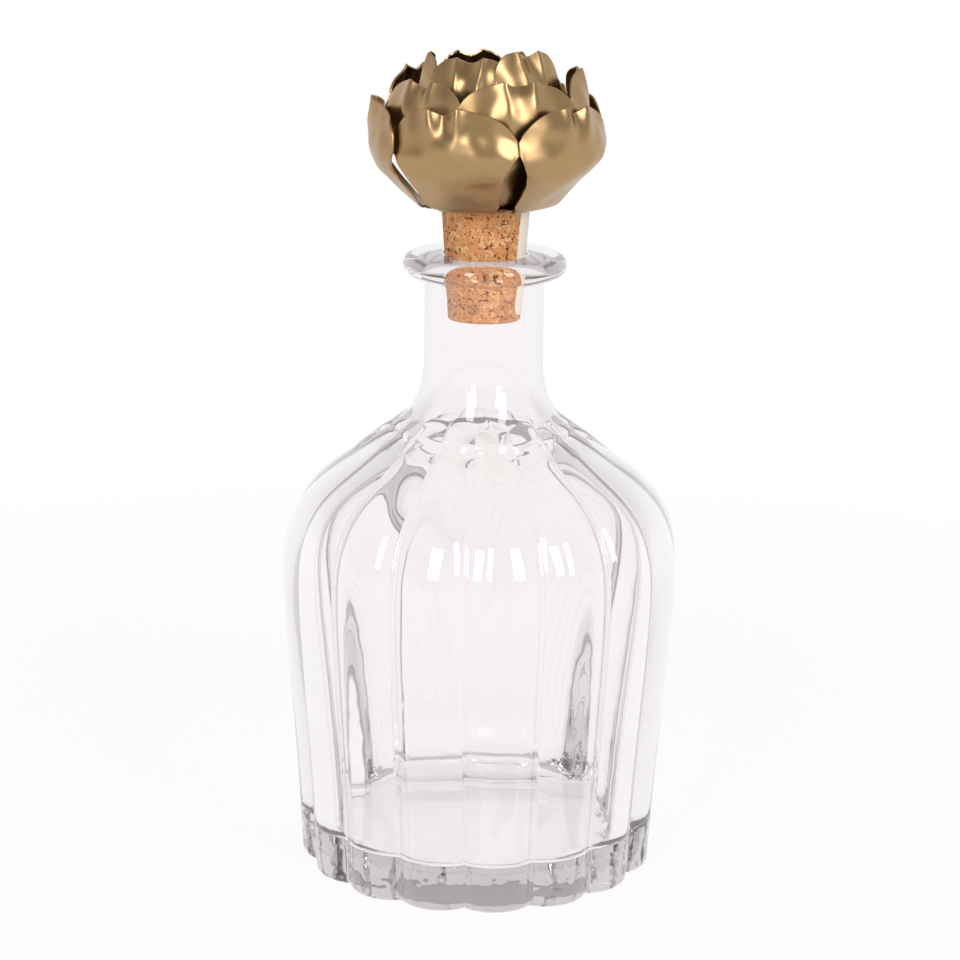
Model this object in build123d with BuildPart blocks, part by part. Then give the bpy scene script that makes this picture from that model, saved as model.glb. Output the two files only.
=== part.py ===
"""Lobed glass decanter closed by a tapered cork that carries a flower of stamped sheet metal.

The origin is the centre of the foot, +Z points up and the front of the decanter faces -Y.
All lengths are in millimetres and all angles in degrees.
"""

import os
from dataclasses import dataclass
from math import atan2, cos, exp, radians, sin, tan

from build123d import *

# Driving dimensions of the glass body
body_radius = 60.1
foot_inset = 5.9
widest_height = 90.0
lobe_depth = 3.7
inner_lobe_depth = 2.5
wall = 4.0
floor_thickness = 13.0
foot_round = 2.2
floor_round = 3.5
foot_band = 7.3
push_up_depth = 1.6

# Driving dimensions of the neck and the mouth ring
neck_radius = 17.8
bore_radius = 12.4
mouth_height = 188.3
neck_length = 32.8
shoulder_gap = 13.5
flare_radius = 28.0
inner_flare_radius = 26.0
flare_turn = 58.0
ring_radius = 24.4
ring_thickness = 6.3
ring_underside_round = 1.6
lip_round = 1.2

# The lobes around the body and where the first crest points
lobe_count = 16
lobe_turn = 7.35
lobe_fade = 0.35

# The side swells from the foot to the widest height, then the shoulder closes to the neck
side_height_shares = (0.0, 0.25, 0.5, 0.78, 1.0)
side_swell_shares = (0.0, 0.22, 0.49, 0.82, 1.0)
shoulder_height_shares = (0.19, 0.35, 0.48, 0.60, 0.71, 0.83, 0.94, 1.0)
shoulder_radius_shares = (0.993, 0.957, 0.892, 0.787, 0.662, 0.527, 0.37, 0.25)

# Driving dimensions of the cork
cork_clearance = 0.42
cork_depth = 19.1
cork_stand = 14.4
cork_taper = 3.93
cork_edge = 0.5

# Driving dimensions of the bare paper strip round one side of the cork
sticker_thickness = 0.12
sticker_start = -43.0
sticker_sweep = 71.0
sticker_end_gap = 2.0
sticker_corner = 2.5

# Driving dimensions of the sheet-metal flower and its fixing screw
flower_radius = 36.0
hub_thickness = 1.0
petal_thickness = 0.7
petal_root = 0.6
trim_margin = 1.2
strap_inset = 0.4
petal_count = 5
screw_radius = 2.0
screw_length = 26.0
screw_point = 6.0
screw_head_radius = 4.0
screw_head_height = 2.6
shoulder_radius_share = 0.7
shoulder_height_share = 0.8
hole_clearance = 0.2
pilot_clearance = 0.05
washer_radius = 5.6
washer_thickness = 1.0

# One extra length for every cut that runs out of its piece
overrun = 5.0

# Places worked out from the driving dimensions
lobe_arc = 360 / lobe_count
lip_height = mouth_height - lip_round
flare_top_height = mouth_height - neck_length
shoulder_rise = flare_top_height - shoulder_gap - widest_height
foot_radius = body_radius - foot_inset
push_up_radius = foot_radius - lobe_depth - foot_round - foot_band
push_up_sphere = (push_up_radius**2 + push_up_depth**2) / (2 * push_up_depth)
cork_bottom = mouth_height - cork_depth
cork_top = mouth_height + cork_stand
hub_hole_radius = screw_radius + hole_clearance


@dataclass
class Whorl:
    """One stamped star of five petals bent up from a hub, its lengths as shares of the flower's radius."""

    name: str
    level: int
    first_petal: float
    waist_turn: float
    bowl_turn: float
    brim_turn: float
    hub_share: float
    strap_share: float
    waist_share: float
    flank_share: float
    bowl_share: float
    brim_share: float
    width_share: float
    cup_share: float
    horn_share: float
    pinch_share: float
    dip_share: float
    drop_share: float


whorls = (
    Whorl(
        name="outer_petals",
        level=0,
        first_petal=-108.0,
        waist_turn=41.0,
        bowl_turn=44.0,
        brim_turn=20.0,
        hub_share=0.344,
        strap_share=0.128,
        waist_share=0.194,
        flank_share=0.319,
        bowl_share=0.375,
        brim_share=1.056,
        width_share=0.542,
        cup_share=0.194,
        horn_share=0.264,
        pinch_share=0.047,
        dip_share=0.033,
        drop_share=0.333,
    ),
    Whorl(
        name="middle_petals",
        level=1,
        first_petal=-72.0,
        waist_turn=48.0,
        bowl_turn=42.0,
        brim_turn=22.0,
        hub_share=0.275,
        strap_share=0.072,
        waist_share=0.167,
        flank_share=0.397,
        bowl_share=0.389,
        brim_share=1.25,
        width_share=0.455,
        cup_share=0.16,
        horn_share=0.25,
        pinch_share=0.044,
        dip_share=0.033,
        drop_share=0.32,
    ),
    Whorl(
        name="inner_petals",
        level=2,
        first_petal=-108.0,
        waist_turn=61.0,
        bowl_turn=27.0,
        brim_turn=16,
        hub_share=0.219,
        strap_share=0.039,
        waist_share=0.139,
        flank_share=0.292,
        bowl_share=0.55,
        brim_share=2.365,
        width_share=0.28,
        cup_share=0.07,
        horn_share=0.222,
        pinch_share=0.033,
        dip_share=0.028,
        drop_share=0.25,
    ),
    Whorl(
        name="bud_petals",
        level=3,
        first_petal=-72.0,
        waist_turn=75.0,
        bowl_turn=13.0,
        brim_turn=16.0,
        hub_share=0.175,
        strap_share=0.017,
        waist_share=0.083,
        flank_share=0.278,
        bowl_share=0.833,
        brim_share=1.667,
        width_share=0.194,
        cup_share=0.05,
        horn_share=0.139,
        pinch_share=0.022,
        dip_share=0.022,
        drop_share=0.167,
    ),
)

# How a petal widens, curls and is pinched, at places along each stretch of its length
root_place_shares = (0.0,)
waist_place_shares = (0.0, 0.33, 0.67)
flank_place_shares = (0.0, 0.5)
bowl_place_shares = (0.0, 0.5)
brim_place_shares = (0.0, 0.3, 0.65, 1.0)
widening_shares = (0.0, 0.0, 0.0, 0.03, 0.07, 0.18, 0.40, 0.72, 0.96, 1.0, 1.0, 0.94)
curl_shares = (0.0, 0.0, 0.04, 0.09, 0.15, 0.28, 0.44, 0.66, 0.86, 0.95, 1.0, 1.0)
fold_shares = (0.0, 0.0, 0.0, 0.0, 0.0, 0.0, 0.0, 0.03, 0.15, 0.42, 0.78, 1.0)
ridge_share = 0.13
across_count = 21


def polar(radius, angle):
    """A point in a level plane at a radius and an angle."""
    return (radius * cos(radians(angle)), radius * sin(radians(angle)))


def lobed_ring(height, crest_radius, depth):
    """A level ring of outward arcs that meet in sharp valleys."""
    valley_radius = crest_radius - depth * (crest_radius / body_radius) ** lobe_fade
    with BuildSketch(Plane.XY.offset(height)) as ring:
        with BuildLine():
            for number in range(lobe_count):
                crest = lobe_turn + number * lobe_arc
                ThreePointArc(
                    polar(valley_radius, crest - lobe_arc / 2),
                    polar(crest_radius, crest),
                    polar(valley_radius, crest + lobe_arc / 2),
                )
        make_face()
    return ring.sketch


def lobed_rings(inset, depth, bottom):
    """The rings that shape the body from a bottom height up, each drawn in by the inset."""
    foot = foot_radius - inset
    belly = body_radius - inset
    side_height = widest_height - bottom
    rise = shoulder_rise - inset
    rings = []
    for height_share, swell_share in zip(side_height_shares, side_swell_shares):
        radius = foot + swell_share * (belly - foot)
        rings.append(lobed_ring(bottom + height_share * side_height, radius, depth))
    for height_share, radius_share in zip(shoulder_height_shares, shoulder_radius_shares):
        rings.append(lobed_ring(widest_height + height_share * rise, radius_share * belly, depth))
    return rings


def flared_tube(radius, flare, top):
    """Half outline of a round tube that widens downwards along an arc, for a revolve."""
    arc_middle = flare_top_height - flare * sin(radians(flare_turn / 2))
    arc_end = flare_top_height - flare * sin(radians(flare_turn))
    middle_radius = radius + flare * (1 - cos(radians(flare_turn / 2)))
    end_radius = radius + flare * (1 - cos(radians(flare_turn)))
    with BuildSketch(Plane.XZ) as outline:
        with BuildLine():
            ThreePointArc((radius, flare_top_height), (middle_radius, arc_middle), (end_radius, arc_end))
            Polyline((end_radius, arc_end), (0, arc_end), (0, top), (radius, top), (radius, flare_top_height))
        make_face()
    return outline.sketch


def mouth_ring():
    """Half outline of the mouth ring, with a fully round rim and a hollow under it."""
    rim_radius = ring_thickness / 2
    underside = mouth_height - ring_thickness
    hollow_foot = underside - ring_underside_round
    hollow_centre = (neck_radius + ring_underside_round, hollow_foot)
    with BuildSketch(Plane.XZ) as outline:
        with BuildLine():
            rim = CenterArc((ring_radius - rim_radius, mouth_height - rim_radius), rim_radius, -90, 180)
            hollow = CenterArc(hollow_centre, ring_underside_round, 90, 90)
            Line(rim @ 0, hollow @ 0)
            Polyline(hollow @ 1, (0, hollow_foot), (0, mouth_height), rim @ 1)
        make_face()
    return outline.sketch


def make_bottle():
    """The glass: a lobed body, a round neck that flares into it and a rolled mouth ring."""
    with BuildPart() as cavity:
        loft(lobed_rings(wall, inner_lobe_depth, floor_thickness))
        fillet(cavity.edges().group_by(Axis.Z)[0], floor_round)
        revolve(flared_tube(bore_radius, inner_flare_radius, mouth_height + overrun))

    with BuildPart() as glass:
        loft(lobed_rings(0, lobe_depth, 0))
        revolve(flared_tube(neck_radius, flare_radius, mouth_height - ring_thickness / 2))
        fillet(glass.edges().group_by(Axis.Z)[0], foot_round)
        revolve(mouth_ring())
        add(cavity.part, mode=Mode.SUBTRACT)
        mouth_edges = glass.edges().filter_by(GeomType.CIRCLE).group_by(Axis.Z)[-1]
        fillet(mouth_edges.sort_by(SortBy.RADIUS)[0], lip_round)
        with Locations((0, 0, push_up_depth - push_up_sphere)):
            Sphere(push_up_sphere, mode=Mode.SUBTRACT)
    glass.part.label = "bottle"
    return glass


def cork_radius(height):
    """The cork's radius at a height, wider towards the top and seated at the lip."""
    return bore_radius - cork_clearance + (height - lip_height) * tan(radians(cork_taper))


def make_cork():
    """The tapered cork with its pilot hole for the screw."""
    stack = len(whorls) * hub_thickness + washer_thickness
    with BuildPart() as cork:
        with BuildSketch(Plane.XZ):
            with BuildLine():
                Polyline(
                    (0, cork_bottom),
                    (cork_radius(cork_bottom), cork_bottom),
                    (cork_radius(cork_top), cork_top),
                    (0, cork_top),
                    close=True,
                )
            make_face()
        revolve()
        chamfer(cork.edges().group_by(Axis.Z)[0], cork_edge)
        with Locations(Plane.XY.offset(cork_top)):
            Hole(screw_radius + pilot_clearance, depth=screw_length - stack)
    cork.part.label = "cork"
    return cork


def make_sticker():
    """The bare paper strip on one side of the cork, cut straight with round corners at its lower end."""
    bottom = cork_bottom + sticker_end_gap
    half_turn = sticker_sweep / 2
    width = 2 * cork_radius(bottom) * sin(radians(half_turn))
    with BuildPart() as sticker:
        with BuildSketch(Plane.XZ.rotated((0, 0, sticker_start))):
            with BuildLine():
                Polyline(
                    (cork_radius(bottom), bottom),
                    (cork_radius(cork_top), cork_top),
                    (cork_radius(cork_top) + sticker_thickness, cork_top),
                    (cork_radius(bottom) + sticker_thickness, bottom),
                    close=True,
                )
            make_face()
        revolve(axis=Axis.Z, revolution_arc=sticker_sweep)
        with BuildSketch(Plane.YZ.rotated((0, 0, sticker_start + half_turn))):
            with Locations((0, (bottom + cork_top + overrun) / 2)):
                RectangleRounded(width, cork_top + overrun - bottom, sticker_corner)
        extrude(amount=body_radius, mode=Mode.INTERSECT)
    sticker.part.label = "cork_sticker"
    return sticker


def strap_half_width(whorl):
    """Half the width of the flat straps, which leave small shoulders at the hub's corners."""
    return whorl.hub_share * flower_radius * tan(radians(180 / petal_count)) - strap_inset


def petal_planes(whorl, base):
    """Planes across a petal along its root, waist, flank, bowl and leaning brim."""
    strap_end = (whorl.hub_share + whorl.strap_share) * flower_radius
    middle = base + hub_thickness / 2
    with BuildLine(Plane.XZ):
        root = Line((strap_end - petal_root, middle), (strap_end, middle))
        waist = JernArc(root @ 1, root % 1, whorl.waist_share * flower_radius, whorl.waist_turn)
        flank = Line(waist @ 1, (waist @ 1) + (waist % 1) * (whorl.flank_share * flower_radius))
        bowl = JernArc(flank @ 1, flank % 1, whorl.bowl_share * flower_radius, whorl.bowl_turn)
        brim = JernArc(bowl @ 1, bowl % 1, whorl.brim_share * flower_radius, whorl.brim_turn)
    stretches = (
        (root, root_place_shares),
        (waist, waist_place_shares),
        (flank, flank_place_shares),
        (bowl, bowl_place_shares),
        (brim, brim_place_shares),
    )
    return [
        Plane(stretch @ place, x_dir=(0, 1, 0), z_dir=stretch % place)
        for stretch, places in stretches
        for place in places
    ]


def sheet_section(plane, whorl, widening_share, curl_share, fold_share):
    """A thin band across a petal, curled inwards at its edges and pinched at the two horns."""
    petal_half_width = whorl.width_share * flower_radius
    root_half_width = strap_half_width(whorl) - strap_inset
    half_width = root_half_width + widening_share * (petal_half_width - root_half_width)
    horn_place = whorl.horn_share * flower_radius / 2
    ridge_width = petal_half_width * ridge_share
    curl = whorl.cup_share * flower_radius * curl_share
    fold = whorl.pinch_share * flower_radius * fold_share
    places = [number / (across_count - 1) for number in range(across_count)]

    def rise(side):
        left_ridge = exp(-(((side + horn_place) / ridge_width) ** 2))
        right_ridge = exp(-(((side - horn_place) / ridge_width) ** 2))
        return curl * (side / half_width) ** 2 - fold * (left_ridge + right_ridge)

    def band_edge(offset):
        step = ridge_width / 4
        points = []
        for place in places:
            side = half_width * (2 * place - 1)
            slope = atan2(rise(side + step) - rise(side - step), 2 * step)
            points.append((side - offset * sin(slope), rise(side) + offset * cos(slope)))
        return Edge.make_spline(points, parameters=places)

    with BuildSketch(plane) as section:
        with BuildLine():
            lower = band_edge(-petal_thickness / 2)
            upper = band_edge(petal_thickness / 2)
            add([lower, upper])
            Line(lower @ 0, upper @ 0)
            Line(lower @ 1, upper @ 1)
        make_face()
    return section.sketch


def petal_outline(whorl, base, tip):
    """The outline that trims a petal, seen from outside: round shoulders, two horns and a dip between."""
    dip_depth = whorl.dip_share * flower_radius
    half_width = whorl.width_share * flower_radius
    horn = (whorl.horn_share * flower_radius / 2, tip - dip_depth / 2)
    side = half_width + trim_margin
    shoulder = (side, tip - whorl.drop_share * flower_radius - trim_margin)
    with BuildSketch(Plane.YZ) as outline:
        with BuildLine():
            dip = ThreePointArc((-horn[0], horn[1]), (0, horn[1] - dip_depth), horn)
            right = Spline(horn, shoulder, tangents=((1, -0.3), (0, -1)))
            left = Spline((-shoulder[0], shoulder[1]), dip @ 0, tangents=((0, 1), (1, 0.3)))
            Polyline(right @ 1, (side, base - overrun), (-side, base - overrun), left @ 0)
        make_face()
    return outline.sketch


def make_petal(whorl, base):
    """One petal on its flat strap, lofted through sheet sections and trimmed to its horned rim."""
    planes = petal_planes(whorl, base)
    sections = [
        sheet_section(plane, whorl, *shares)
        for plane, *shares in zip(planes, widening_shares, curl_shares, fold_shares)
    ]
    strap_start = whorl.hub_share * flower_radius / 2
    strap_end = (whorl.hub_share + whorl.strap_share) * flower_radius
    strap_width = 2 * strap_half_width(whorl)
    with BuildPart() as petal:
        loft(sections)
        extrude(petal_outline(whorl, base, planes[-1].origin.Z), amount=body_radius, mode=Mode.INTERSECT)
        with BuildSketch(Plane.XY.offset(base)):
            with Locations((strap_start, 0)):
                Rectangle(strap_end - strap_start, strap_width, align=(Align.MIN, Align.CENTER))
        extrude(amount=hub_thickness)
    return petal


def make_whorl(whorl):
    """A five-sided hub with a screw hole and a petal on each of its sides."""
    base = cork_top + whorl.level * hub_thickness
    petal = make_petal(whorl, base)
    petal_turn = 360 / petal_count
    with BuildPart() as star:
        with BuildSketch(Plane.XY.offset(base)):
            RegularPolygon(
                whorl.hub_share * flower_radius,
                petal_count,
                major_radius=False,
                rotation=whorl.first_petal - petal_turn / 2,
            )
        extrude(amount=hub_thickness)
        for number in range(petal_count):
            with Locations(Rotation(0, 0, whorl.first_petal + number * petal_turn)):
                add(petal.part)
        with Locations(Plane.XY.offset(base + hub_thickness)):
            Hole(hub_hole_radius, depth=hub_thickness)
    star.part.label = whorl.name
    return star


def make_washer():
    """The plain washer under the screw head."""
    with BuildPart() as washer:
        with Locations(Plane.XY.offset(cork_top + len(whorls) * hub_thickness)):
            Cylinder(washer_radius, washer_thickness, align=(Align.CENTER, Align.CENTER, Align.MIN))
            Hole(hub_hole_radius)
    washer.part.label = "clamp_washer"
    return washer


def make_screw():
    """The round-headed screw that holds the petals on the cork, with its point in the pilot hole."""
    seat = cork_top + len(whorls) * hub_thickness + washer_thickness
    point = seat - screw_length
    shoulder = (screw_head_radius * shoulder_radius_share, seat + screw_head_height * shoulder_height_share)
    with BuildPart() as screw:
        with BuildSketch(Plane.XZ):
            with BuildLine():
                crown = ThreePointArc((0, seat + screw_head_height), shoulder, (screw_head_radius, seat))
                shank = Line((screw_radius, seat), (screw_radius, point + screw_point))
                Line(crown @ 1, shank @ 0)
                Polyline(shank @ 1, (0, point), crown @ 0)
            make_face()
        revolve()
    screw.part.label = "fixing_screw"
    return screw


if __name__ == "__main__":
    os.makedirs("parts", exist_ok=True)
    pieces = [make_bottle(), make_cork(), make_sticker(), make_washer(), make_screw()]
    pieces += [make_whorl(whorl) for whorl in whorls]
    for piece in pieces:
        export_step(piece.part, f"parts/{piece.part.label}.step")
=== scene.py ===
"""Looks of a lobed glass decanter with a corked metal flower, laid out as an add-on and run as a script."""

from math import cos, hypot, pi, radians, sin, sqrt, tan
from typing import NamedTuple

import bpy
import numpy as np
from bpy.props import FloatProperty, FloatVectorProperty, IntProperty, PointerProperty
from bpy.types import Operator, Panel, PropertyGroup
from mathutils import Euler, Matrix, Vector, noise


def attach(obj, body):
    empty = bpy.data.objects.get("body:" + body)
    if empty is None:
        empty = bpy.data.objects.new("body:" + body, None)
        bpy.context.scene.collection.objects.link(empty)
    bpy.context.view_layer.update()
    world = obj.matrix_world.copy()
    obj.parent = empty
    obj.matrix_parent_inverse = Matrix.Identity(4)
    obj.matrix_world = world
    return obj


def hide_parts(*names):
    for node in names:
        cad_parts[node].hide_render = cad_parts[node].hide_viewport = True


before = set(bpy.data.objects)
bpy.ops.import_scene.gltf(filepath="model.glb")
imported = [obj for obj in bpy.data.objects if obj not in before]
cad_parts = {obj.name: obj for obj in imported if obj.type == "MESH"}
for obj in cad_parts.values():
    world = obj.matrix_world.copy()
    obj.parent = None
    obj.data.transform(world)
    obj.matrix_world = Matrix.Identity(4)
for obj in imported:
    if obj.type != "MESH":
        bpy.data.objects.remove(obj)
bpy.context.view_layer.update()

bl_info = {
    "name": "Corked Flower Decanter",
    "version": (1, 0, 0),
    "blender": (4, 5, 0),
    "location": "3D View > Sidebar > Decanter",
    "description": "Builds a lobed glass decanter with a cork and a stamped metal flower",
    "category": "Object",
}

mm = 0.001

# Lobes of the glass, as in the part, with their turn in degrees
lobe_count = 16
lobe_turn = 7.35
lobe_fade = 0.35

# The curve up the glass, as in the part, first from foot to widest place and then over the shoulder
side_height_shares = (0.0, 0.25, 0.5, 0.78, 1.0)
side_swell_shares = (0.0, 0.22, 0.49, 0.82, 1.0)
shoulder_height_shares = (0.19, 0.35, 0.48, 0.60, 0.71, 0.83, 0.94, 1.0)
shoulder_radius_shares = (0.993, 0.957, 0.892, 0.787, 0.662, 0.527, 0.37, 0.25)

# Fineness of the glass mesh
curve_steps = 600
foot_rows = 6
side_rows = 34
shoulder_rows = 58
rim_steps = 16
lip_steps = 6
hollow_steps = 5

# The lowest place at which the side's curve is read, as a share of the foot's rounding
lowest_read_share = 0.02

# How the lobes inside fade below the neck
inner_fade = 35 * mm
least_inner_dip = 0.15

# The unevenness inside: its fading below the neck, its waves per metre, and what still counts as floor
wave_fade = 30 * mm
waves_across = 55
waves_up = 22
floor_margin = 0.1 * mm


def length(name, description, millimetres):
    """A property that holds a length, given here in millimetres."""
    return FloatProperty(
        name=name,
        description=description,
        default=millimetres * mm,
        min=0.0,
        precision=5,
        subtype="DISTANCE",
        unit="LENGTH",
    )


def turn(name, description, degrees):
    """A property that holds an angle, given here in degrees."""
    return FloatProperty(
        name=name,
        description=description,
        default=radians(degrees),
        subtype="ANGLE",
        unit="ROTATION",
    )


def colour(name, description, red, green, blue):
    """A property that holds a linear colour."""
    return FloatVectorProperty(
        name=name,
        description=description,
        default=(red, green, blue),
        size=3,
        min=0.0,
        max=1.0,
        subtype="COLOR",
    )


class Whorl(NamedTuple):
    """One star: its angles in degrees, its level in the stack, and shares of the flower's radius."""

    first_petal: float
    level: int
    turns: tuple
    hub_share: float
    strap_share: float
    waist_share: float
    flank_share: float
    bowl_share: float
    brim_share: float
    width_share: float
    cup_share: float
    horn_share: float
    pinch_share: float
    dip_share: float
    drop_share: float


# The four whorls, as in the part
petal_count = 5
whorls = {
    "outer_petals": Whorl(
        first_petal=-108.0, level=0, turns=(41.0, 50.0, 24.0), hub_share=0.344, strap_share=0.128,
        waist_share=0.194, flank_share=0.335, bowl_share=0.33, brim_share=0.88, width_share=0.542,
        cup_share=0.194, horn_share=0.245, pinch_share=0.06, dip_share=0.036, drop_share=0.333,
    ),
    "middle_petals": Whorl(
        first_petal=-72.0, level=1, turns=(48.0, 42.0, 32.0), hub_share=0.275, strap_share=0.072,
        waist_share=0.167, flank_share=0.397, bowl_share=0.389, brim_share=0.859, width_share=0.455,
        cup_share=0.16, horn_share=0.25, pinch_share=0.042, dip_share=0.036, drop_share=0.32,
    ),
    "inner_petals": Whorl(
        first_petal=-108.0, level=2, turns=(61.0, 27.0, 32.0), hub_share=0.219, strap_share=0.039,
        waist_share=0.139, flank_share=0.292, bowl_share=0.55, brim_share=1.182, width_share=0.28,
        cup_share=0.07, horn_share=0.215, pinch_share=0.03, dip_share=0.034, drop_share=0.25,
    ),
    "bud_petals": Whorl(
        first_petal=-72.0, level=3, turns=(75.0, 13.0, 16.0), hub_share=0.175, strap_share=0.017,
        waist_share=0.083, flank_share=0.278, bowl_share=0.833, brim_share=1.667, width_share=0.194,
        cup_share=0.05, horn_share=0.139, pinch_share=0.026, dip_share=0.026, drop_share=0.167,
    ),
}

# How a petal widens, curls and is pinched, at places along each stretch of its length
stretch_place_shares = ((0.0,), (0.0, 0.33, 0.67), (0.0, 0.5), (0.0, 0.5), (0.0, 0.3, 0.65, 1.0))
widening_shares = (0.0, 0.0, 0.0, 0.03, 0.07, 0.18, 0.40, 0.72, 0.96, 1.0, 1.0, 0.98)
curl_shares = (0.0, 0.0, 0.04, 0.09, 0.15, 0.28, 0.44, 0.66, 0.86, 0.95, 0.92, 0.72)
fold_shares = (0.0, 0.0, 0.0, 0.0, 0.0, 0.0, 0.0, 0.0, 0.04, 0.16, 0.52, 1.0)

# Fineness of a petal: the steps along each stretch, and how its rows crowd towards the tip
stretch_steps = 60
row_crowding = 0.92

# The tip: how round its shoulders and its notch are, and two ridges beside a dent, closer at the root
shoulder_power = 3.4
notch_power = 0.6
ridge_width_share = 0.105
ridge_softness = 0.12
ridge_lift = 1.35
dent_width_share = 0.62
dent_depth = 0.75
root_pinch_share = 0.62

# Dents of the bent sheet: their number per metre, how they differ from petal to petal, and finer ones
dents_across = 80
dents_along = 70
dent_shift = 3.7
fine_dent_share = 0.35
fine_dent_scale = 2.3

# How far the round edge of a petal stands out, as a share of half the sheet's thickness
edge_share = 0.8


class Bend(NamedTuple):
    """How one petal was bent by hand: angles in degrees, fullness as a power, the rest as shares."""

    turn: float = 0.0
    width: float = 1.0
    horn_side: float = 0.0
    left_fullness: float = 0.9
    right_fullness: float = 0.9
    closing: float = 0.0
    cut: float = 0.0


# The petals of each whorl, counted from its first one
hand_bends = {
    "outer_petals": (
        Bend(width=0.97, horn_side=-0.07, left_fullness=0.45, right_fullness=0.55, cut=0.02),
        Bend(turn=-3.0, width=1.04, left_fullness=0.4, closing=4.0, cut=0.02),
        Bend(turn=2.0, horn_side=0.03, closing=3.0),
        Bend(turn=-2.0, width=1.02, horn_side=-0.03, closing=2.0, cut=0.02),
        Bend(turn=5.0, width=1.1, horn_side=0.02, right_fullness=0.3, closing=2.0, cut=0.03),
    ),
    "middle_petals": (
        Bend(turn=2.0, width=1.14, left_fullness=0.8, right_fullness=0.8, closing=4.0, cut=0.03),
        Bend(horn_side=0.04, closing=-2.0),
        Bend(turn=-3.0, closing=4.0, cut=0.02),
        Bend(turn=2.0, width=1.02, horn_side=-0.03, closing=3.0, cut=0.02),
        Bend(turn=6.0, width=1.04, horn_side=0.03, closing=4.0, cut=0.04),
    ),
    "inner_petals": (
        Bend(width=1.15, left_fullness=0.8, cut=0.03),
        Bend(turn=-13.0, width=1.18, horn_side=0.03, closing=-2.0),
        Bend(turn=2.0, closing=9.0, cut=0.05),
        Bend(turn=-2.0, width=1.02, horn_side=0.02, closing=9.0, cut=0.05),
        Bend(turn=4.0, horn_side=-0.02, closing=3.0, cut=0.04),
    ),
    "bud_petals": (
        Bend(turn=2.0, closing=4.0, cut=0.04),
        Bend(turn=-2.0, closing=2.0, cut=0.03),
        Bend(closing=6.0, cut=0.05),
        Bend(turn=3.0, closing=5.0, cut=0.04),
        Bend(turn=-3.0, closing=3.0, cut=0.03),
    ),
}


class DecanterGlass(PropertyGroup):
    """Sizes and tint of the glass."""

    foot_radius: length("Foot Radius", "Radius over the lobes at the foot", 54.2)
    body_radius: length("Body Radius", "Radius over the lobes at the widest height", 60.1)
    widest_height: length("Widest Height", "Height at which the body is widest", 90)
    shoulder_rise: length("Shoulder Rise", "Height of the shoulder over the widest place", 52)
    lobe_depth: length("Lobe Depth", "Depth of the valleys outside", 3.7)
    inner_lobe_depth: length("Inner Lobe Depth", "Depth of the valleys inside", 2.5)
    wall: length("Wall", "Thickness of the glass at the lobes", 4)
    floor_thickness: length("Floor Thickness", "Thickness of the solid base", 13)
    foot_round: length("Foot Round", "Rounding round the foot", 2.2)
    floor_round: length("Floor Round", "Rounding round the inside floor", 3.5)
    push_up_radius: length("Push-up Radius", "Radius of the hollow under the foot", 41)
    push_up_depth: length("Push-up Depth", "Depth of the hollow under the foot", 1.6)
    neck_radius: length("Neck Radius", "Outside radius of the neck", 17.8)
    bore_radius: length("Bore Radius", "Inside radius of the neck", 12.4)
    mouth_height: length("Mouth Height", "Height of the top of the mouth ring", 188.3)
    flare_radius: length("Flare Radius", "Radius of the curve from neck to shoulder", 28)
    flare_top: length("Flare Top", "Height at which the neck starts to widen", 155.5)
    inner_flare_radius: length("Inner Flare Radius", "Radius of the same curve inside", 26)
    flare_turn: turn("Flare Turn", "How far the neck curve turns", 58)
    ring_radius: length("Ring Radius", "Outside radius of the mouth ring", 24.4)
    ring_thickness: length("Ring Thickness", "Height of the mouth ring", 6.3)
    ring_hollow: length("Ring Hollow", "Rounding under the mouth ring", 1.6)
    lip_round: length("Lip Round", "Rounding at the mouth", 1.2)
    melt: length("Melt", "How softly the shoulder runs into the neck", 5.0)
    waviness: length("Waviness", "Unevenness of the inside of the pressed glass", 0.05)
    columns_per_lobe: IntProperty(
        name="Columns per Lobe", description="Mesh columns across each lobe", default=24, min=4
    )
    tint: colour("Tint", "Colour that thick glass takes", 0.79, 0.765, 0.775)


class DecanterCork(PropertyGroup):
    """Colours of the cork and the paper strip."""

    pale: colour("Pale Grain", "Colour of the pale granules", 0.80, 0.45, 0.21)
    tan: colour("Tan Grain", "Colour of most granules", 0.69, 0.315, 0.12)
    bark: colour("Bark", "Colour of the dark specks", 0.16, 0.045, 0.017)
    paper: colour("Paper", "Colour of the paper strip", 0.92, 0.83, 0.71)


class DecanterFlower(PropertyGroup):
    """Sizes and colours of the stamped flower and its screw."""

    radius: length("Radius", "Radius of the open flower", 36)
    base: length("Base", "Height at which the flower sits on the cork", 202.7)
    hub_thickness: length("Hub Thickness", "Thickness of each star's hub", 1)
    sheet: length("Sheet", "Thickness of the petals", 0.66)
    hole: length("Hole", "Radius of the screw hole", 2.2)
    petal_root: length("Petal Root", "How far a petal starts inside its strap", 0.6)
    strap_inset: length("Strap Inset", "How far the straps stand back from the hub's corners", 0.4)
    unevenness: length("Unevenness", "Depth of the dents in the bent sheet", 1.7)
    across: IntProperty(name="Columns", description="Mesh columns across a petal", default=56, min=12)
    along: IntProperty(name="Rows", description="Mesh rows along a petal", default=52, min=12)
    gold: colour("Gold", "Colour of the satin gold paint", 0.44, 0.285, 0.137)
    worn: colour("Worn Gold", "Colour of the paint where it thins", 0.29, 0.178, 0.11)
    steel: colour("Steel", "Colour of the screw and washer", 0.55, 0.55, 0.57)


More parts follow.
